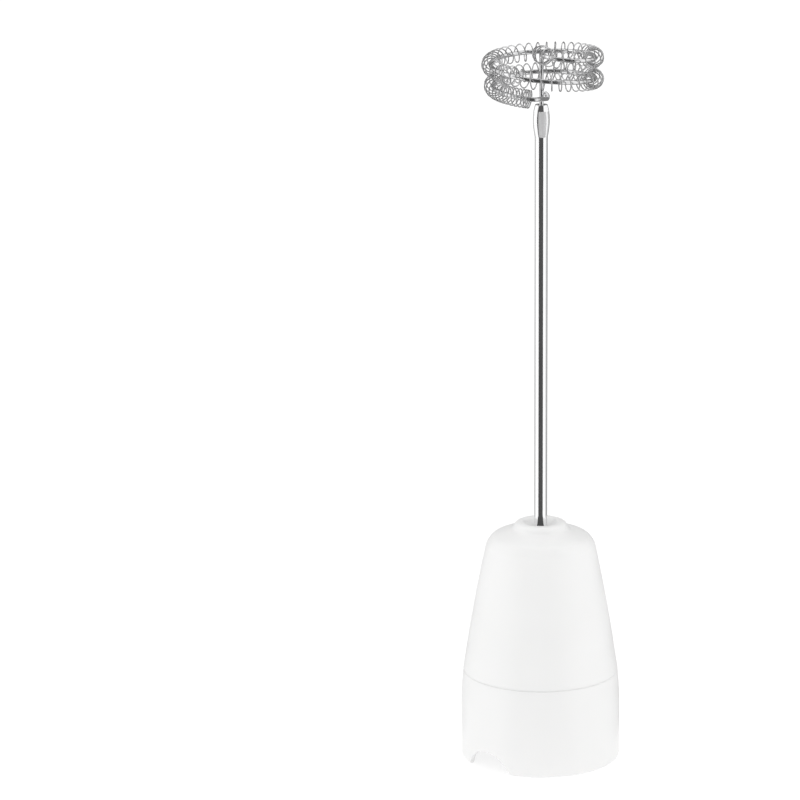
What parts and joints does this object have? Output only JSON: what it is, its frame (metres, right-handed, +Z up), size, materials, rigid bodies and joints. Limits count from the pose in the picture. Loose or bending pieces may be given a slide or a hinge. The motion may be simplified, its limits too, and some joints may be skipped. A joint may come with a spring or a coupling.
{
  "type": "milk frother",
  "caption": "Planetary gear head with an open coupling skirt and release notch, and a plug-in frothing whisk: a coil spring threaded on a wire ring at the top of a steel rod.",
  "frame": {"origin": "centre of the coupling skirt's rim, on the plane that the part stands on", "axes": "+Z up along the shaft towards the whisk; the release notch faces -Y; +X to the right seen from the notch"},
  "size_m": [0.052, 0.052, 0.2385],
  "materials": {
    "white_plastic": "satin moulded white ABS with a very fine texture",
    "natural_nylon": "natural moulded nylon gears",
    "grey_plastic": "dark grey moulded nylon",
    "black_rubber": "dark grey rubber",
    "bronze": null,
    "fastener_steel": "plain turned and stamped steel",
    "shaft_steel": "polished stainless steel",
    "wire_steel": "bright drawn stainless spring wire"
  },
  "bodies": {
    "head": {"upper_housing": "white_plastic", "coupling_skirt": "white_plastic", "gearbox_plate": "white_plastic", "plate_screw_1": "fastener_steel", "plate_screw_2": "fastener_steel", "plate_screw_3": "fastener_steel", "ring_gear": "natural_nylon", "input_bush": "bronze", "output_bush": "bronze", "shaft_seal": "black_rubber"},
    "input": {"drive_coupling": "grey_plastic", "input_shaft": "fastener_steel", "sun_gear": "natural_nylon", "thrust_washer": "fastener_steel"},
    "planet_1": {"planet_gear_1": "natural_nylon"},
    "planet_2": {"planet_gear_2": "natural_nylon"},
    "planet_3": {"planet_gear_3": "natural_nylon"},
    "output": {"planet_carrier": "grey_plastic", "planet_pin_1": "fastener_steel", "planet_pin_2": "fastener_steel", "planet_pin_3": "fastener_steel", "output_spindle": "shaft_steel", "spindle_circlip": "fastener_steel", "grip_ring": "black_rubber"},
    "whisk": {"drive_rod": "shaft_steel", "drive_tip": "shaft_steel", "whisk_wire": "wire_steel", "froth_coil": "wire_steel"}
  },
  "joints": [
    {"name": "output_spin", "type": "hinge", "parent": "head", "child": "output", "pos_m": [0, 0, 0.06], "axis": [0, 0, 1], "continuous": true},
    {"name": "input_spin", "type": "hinge", "parent": "head", "child": "input", "pos_m": [0, 0, 0.03], "axis": [0, 0, 1], "continuous": true},
    {"name": "planet_1_spin", "type": "hinge", "parent": "output", "child": "planet_1", "pos_m": [0.0108, 0, 0.0305], "axis": [0, 0, 1], "continuous": true},
    {"name": "planet_2_spin", "type": "hinge", "parent": "output", "child": "planet_2", "pos_m": [-0.0054, 0.00935, 0.0305], "axis": [0, 0, 1], "continuous": true},
    {"name": "planet_3_spin", "type": "hinge", "parent": "output", "child": "planet_3", "pos_m": [-0.0054, -0.00935, 0.0305], "axis": [0, 0, 1], "continuous": true},
    {"name": "whisk_pull", "type": "slide", "parent": "output", "child": "whisk", "axis": [0, 0, 1], "range_m": [0, 0.036]}
  ],
  "couplings": [
    {"joint": "input_spin", "follows": "output_spin", "ratio": 4.5},
    {"joint": "planet_1_spin", "follows": "output_spin", "ratio": -2.8},
    {"joint": "planet_2_spin", "follows": "output_spin", "ratio": -2.8},
    {"joint": "planet_3_spin", "follows": "output_spin", "ratio": -2.8}
  ]
}
